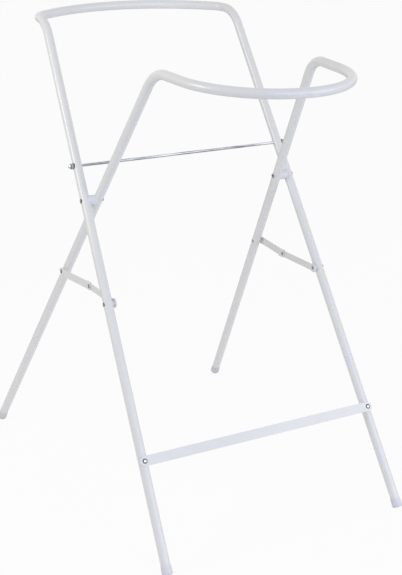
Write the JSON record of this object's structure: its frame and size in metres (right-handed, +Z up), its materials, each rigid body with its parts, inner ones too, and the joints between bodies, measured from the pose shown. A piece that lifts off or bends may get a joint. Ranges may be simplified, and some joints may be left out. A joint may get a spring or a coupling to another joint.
{
  "type": "baby bath stand",
  "caption": "Folding stand for a baby bath: two crossed frames of bent steel tube with round hoops, side stays with a knee, a tie rod, a cross strap and plastic foot caps.",
  "frame": {"origin": "on the floor, under the middle of the whole stand's box", "axes": "+X across the stand, -Y to the front, where the outer frame's feet stand, +Z up"},
  "size_m": [0.5918, 0.8149, 0.9422],
  "materials": {
    "white_powder_coat": "gloss",
    "white_plastic": "satin",
    "bright_steel": "bright"
  },
  "bodies": {
    "outer_frame": {"outer_tube": "white_powder_coat", "outer_foot_cap_left": "white_plastic", "outer_foot_cap_right": "white_plastic", "cross_strap": "white_powder_coat", "strap_rivet_left": "bright_steel", "strap_rivet_right": "bright_steel", "tie_rod": "bright_steel", "rod_nut_left": "bright_steel", "rod_nut_right": "bright_steel", "pivot_rivet_left": "bright_steel", "pivot_rivet_right": "bright_steel", "front_stay_rivet_left": "bright_steel", "front_stay_rivet_right": "bright_steel", "front_stay_spacer_left": "white_plastic", "front_stay_spacer_right": "white_plastic"},
    "inner_frame": {"inner_tube": "white_powder_coat", "inner_foot_cap_left": "white_plastic", "inner_foot_cap_right": "white_plastic", "pivot_spacer_left": "white_plastic", "pivot_spacer_right": "white_plastic", "rear_stay_rivet_left": "bright_steel", "rear_stay_rivet_right": "bright_steel", "rear_stay_washer_left": "white_plastic", "rear_stay_washer_right": "white_plastic"},
    "left_rear_link": {"rear_link_left": "white_powder_coat", "knee_rivet_left": "bright_steel"},
    "left_front_link": {"front_link_left": "white_powder_coat", "front_stay_rivet_end_left": "bright_steel"},
    "right_rear_link": {"rear_link_right": "white_powder_coat", "knee_rivet_right": "bright_steel"},
    "right_front_link": {"front_link_right": "white_powder_coat", "front_stay_rivet_end_right": "bright_steel"}
  },
  "joints": [
    {"name": "frame_fold", "type": "hinge", "parent": "outer_frame", "child": "inner_frame", "pos_m": [0, 0.01277, 0.605], "axis": [-1, 0, 0], "range_deg": [0, 45]},
    {"name": "left_stay", "type": "hinge", "parent": "inner_frame", "child": "left_rear_link", "pos_m": [-0.22818, 0.12491, 0.431], "axis": [-1, 0, 0], "range_deg": [0, 49]},
    {"name": "left_knee", "type": "hinge", "parent": "left_rear_link", "child": "left_front_link", "pos_m": [-0.22654, 0.01277, 0.431], "axis": [1, 0, 0], "range_deg": [0, 143]},
    {"name": "right_stay", "type": "hinge", "parent": "inner_frame", "child": "right_rear_link", "pos_m": [0.22818, 0.12491, 0.431], "axis": [-1, 0, 0], "range_deg": [0, 49]},
    {"name": "right_knee", "type": "hinge", "parent": "right_rear_link", "child": "right_front_link", "pos_m": [0.22654, 0.01277, 0.431], "axis": [1, 0, 0], "range_deg": [0, 143]}
  ],
  "couplings": [
    {"joint": "left_stay", "follows": "frame_fold", "ratio": 1.0717},
    {"joint": "left_knee", "follows": "frame_fold", "ratio": 3.1434},
    {"joint": "right_stay", "follows": "frame_fold", "ratio": 1.0717},
    {"joint": "right_knee", "follows": "frame_fold", "ratio": 3.1434}
  ]
}
